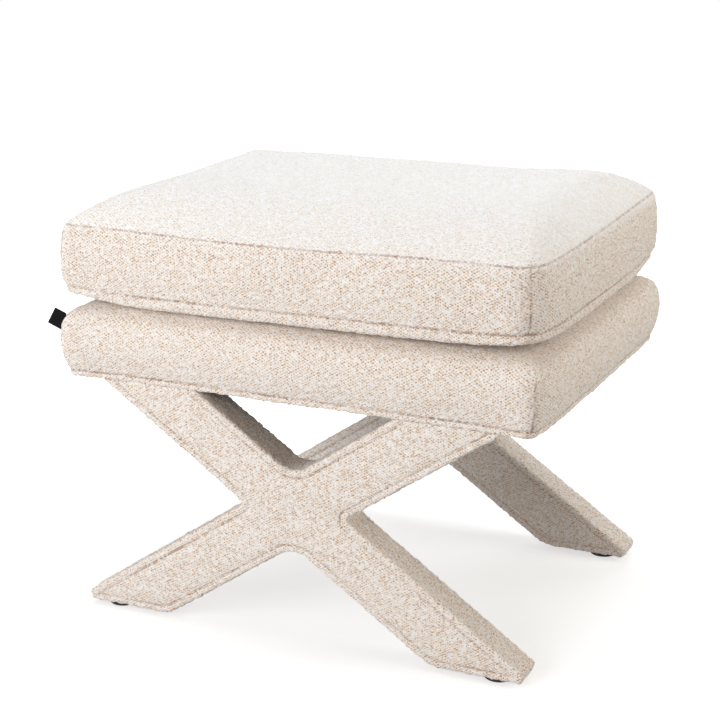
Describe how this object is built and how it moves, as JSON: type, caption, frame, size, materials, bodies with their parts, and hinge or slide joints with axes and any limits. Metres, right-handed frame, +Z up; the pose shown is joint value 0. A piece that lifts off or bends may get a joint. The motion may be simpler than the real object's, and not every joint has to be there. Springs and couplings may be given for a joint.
{
  "type": "cross-leg ottoman",
  "caption": "Upholstered ottoman in looped cream cloth: a loose box cushion on a padded base, carried by crossed leg frames at the front and rear.",
  "frame": {"origin": "on the floor, under the middle of the seat", "axes": "+X to the right along the long front, +Y to the rear, +Z up"},
  "size_m": [0.6086, 0.4622, 0.5043],
  "materials": {
    "looped_cloth": "cream looped boucle",
    "frame_wood": "planed, unfinished",
    "plywood": "sanded plywood",
    "foam": "open-cell cushion foam",
    "wadding": "soft white fibre",
    "dust_cloth": "black non-woven",
    "tab_weave": "black woven tape",
    "glide_plastic": "moulded",
    "steel": "zinc plated",
    "zip_nylon": "cream nylon",
    "zip_metal": "nickel plated"
  },
  "bodies": {
    "base": {"front_rail": "frame_wood", "rear_rail": "frame_wood", "left_rail": "frame_wood", "right_rail": "frame_wood", "centre_rail": "frame_wood", "corner_blocks": "frame_wood", "corner_block_screws": "steel", "deck_panel": "plywood", "deck_screws": "steel", "deck_foam": "foam", "side_wadding": "wadding", "deck_cloth": "looped_cloth", "base_front_band": "looped_cloth", "base_rear_band": "looped_cloth", "base_left_band": "looped_cloth", "base_right_band": "looped_cloth", "hem_welt": "looped_cloth", "dust_cover": "dust_cloth", "dust_cover_staples": "steel", "label_tab": "tab_weave", "leg_bolts": "steel", "leg_washers": "steel", "leg_inserts": "steel", "glides": "glide_plastic", "glide_nails": "steel", "front_leg_rising_beam": "frame_wood", "front_leg_falling_beam": "frame_wood", "front_leg_foam_sheets": "foam", "front_leg_outer_panel": "looped_cloth", "front_leg_inner_panel": "looped_cloth", "front_leg_welts": "looped_cloth", "front_leg_upper_gusset": "looped_cloth", "front_leg_lower_gusset": "looped_cloth", "front_leg_end_gussets": "looped_cloth", "rear_leg_rising_beam": "frame_wood", "rear_leg_falling_beam": "frame_wood", "rear_leg_foam_sheets": "foam", "rear_leg_outer_panel": "looped_cloth", "rear_leg_inner_panel": "looped_cloth", "rear_leg_welts": "looped_cloth", "rear_leg_upper_gusset": "looped_cloth", "rear_leg_lower_gusset": "looped_cloth", "rear_leg_end_gussets": "looped_cloth"},
    "cushion": {"cushion_foam_core": "foam", "cushion_upper_wrap": "wadding", "cushion_lower_wrap": "wadding", "cushion_top_panel": "looped_cloth", "cushion_bottom_panel": "looped_cloth", "cushion_front_boxing": "looped_cloth", "cushion_left_boxing": "looped_cloth", "cushion_right_boxing": "looped_cloth", "cushion_rear_upper_boxing": "looped_cloth", "cushion_rear_lower_boxing": "looped_cloth", "cushion_top_welt": "looped_cloth", "cushion_bottom_welt": "looped_cloth", "zip_tapes": "zip_nylon", "zip_coil": "zip_nylon"},
    "zip_slider": {"zip_slider": "zip_metal"},
    "zip_pull": {"zip_pull": "zip_metal"}
  },
  "joints": [
    {"name": "cushion_lift", "type": "slide", "parent": "base", "child": "cushion", "axis": [0, 0, 1], "range_m": [0, 0.16]},
    {"name": "zip_run", "type": "slide", "parent": "cushion", "child": "zip_slider", "axis": [-1, 0, 0], "range_m": [0, 0.41]},
    {"name": "pull_swing", "type": "hinge", "parent": "zip_slider", "child": "zip_pull", "pos_m": [0.2065, 0.2301, 0.4243], "axis": [0, 0, -1], "range_deg": [0, 150]}
  ]
}
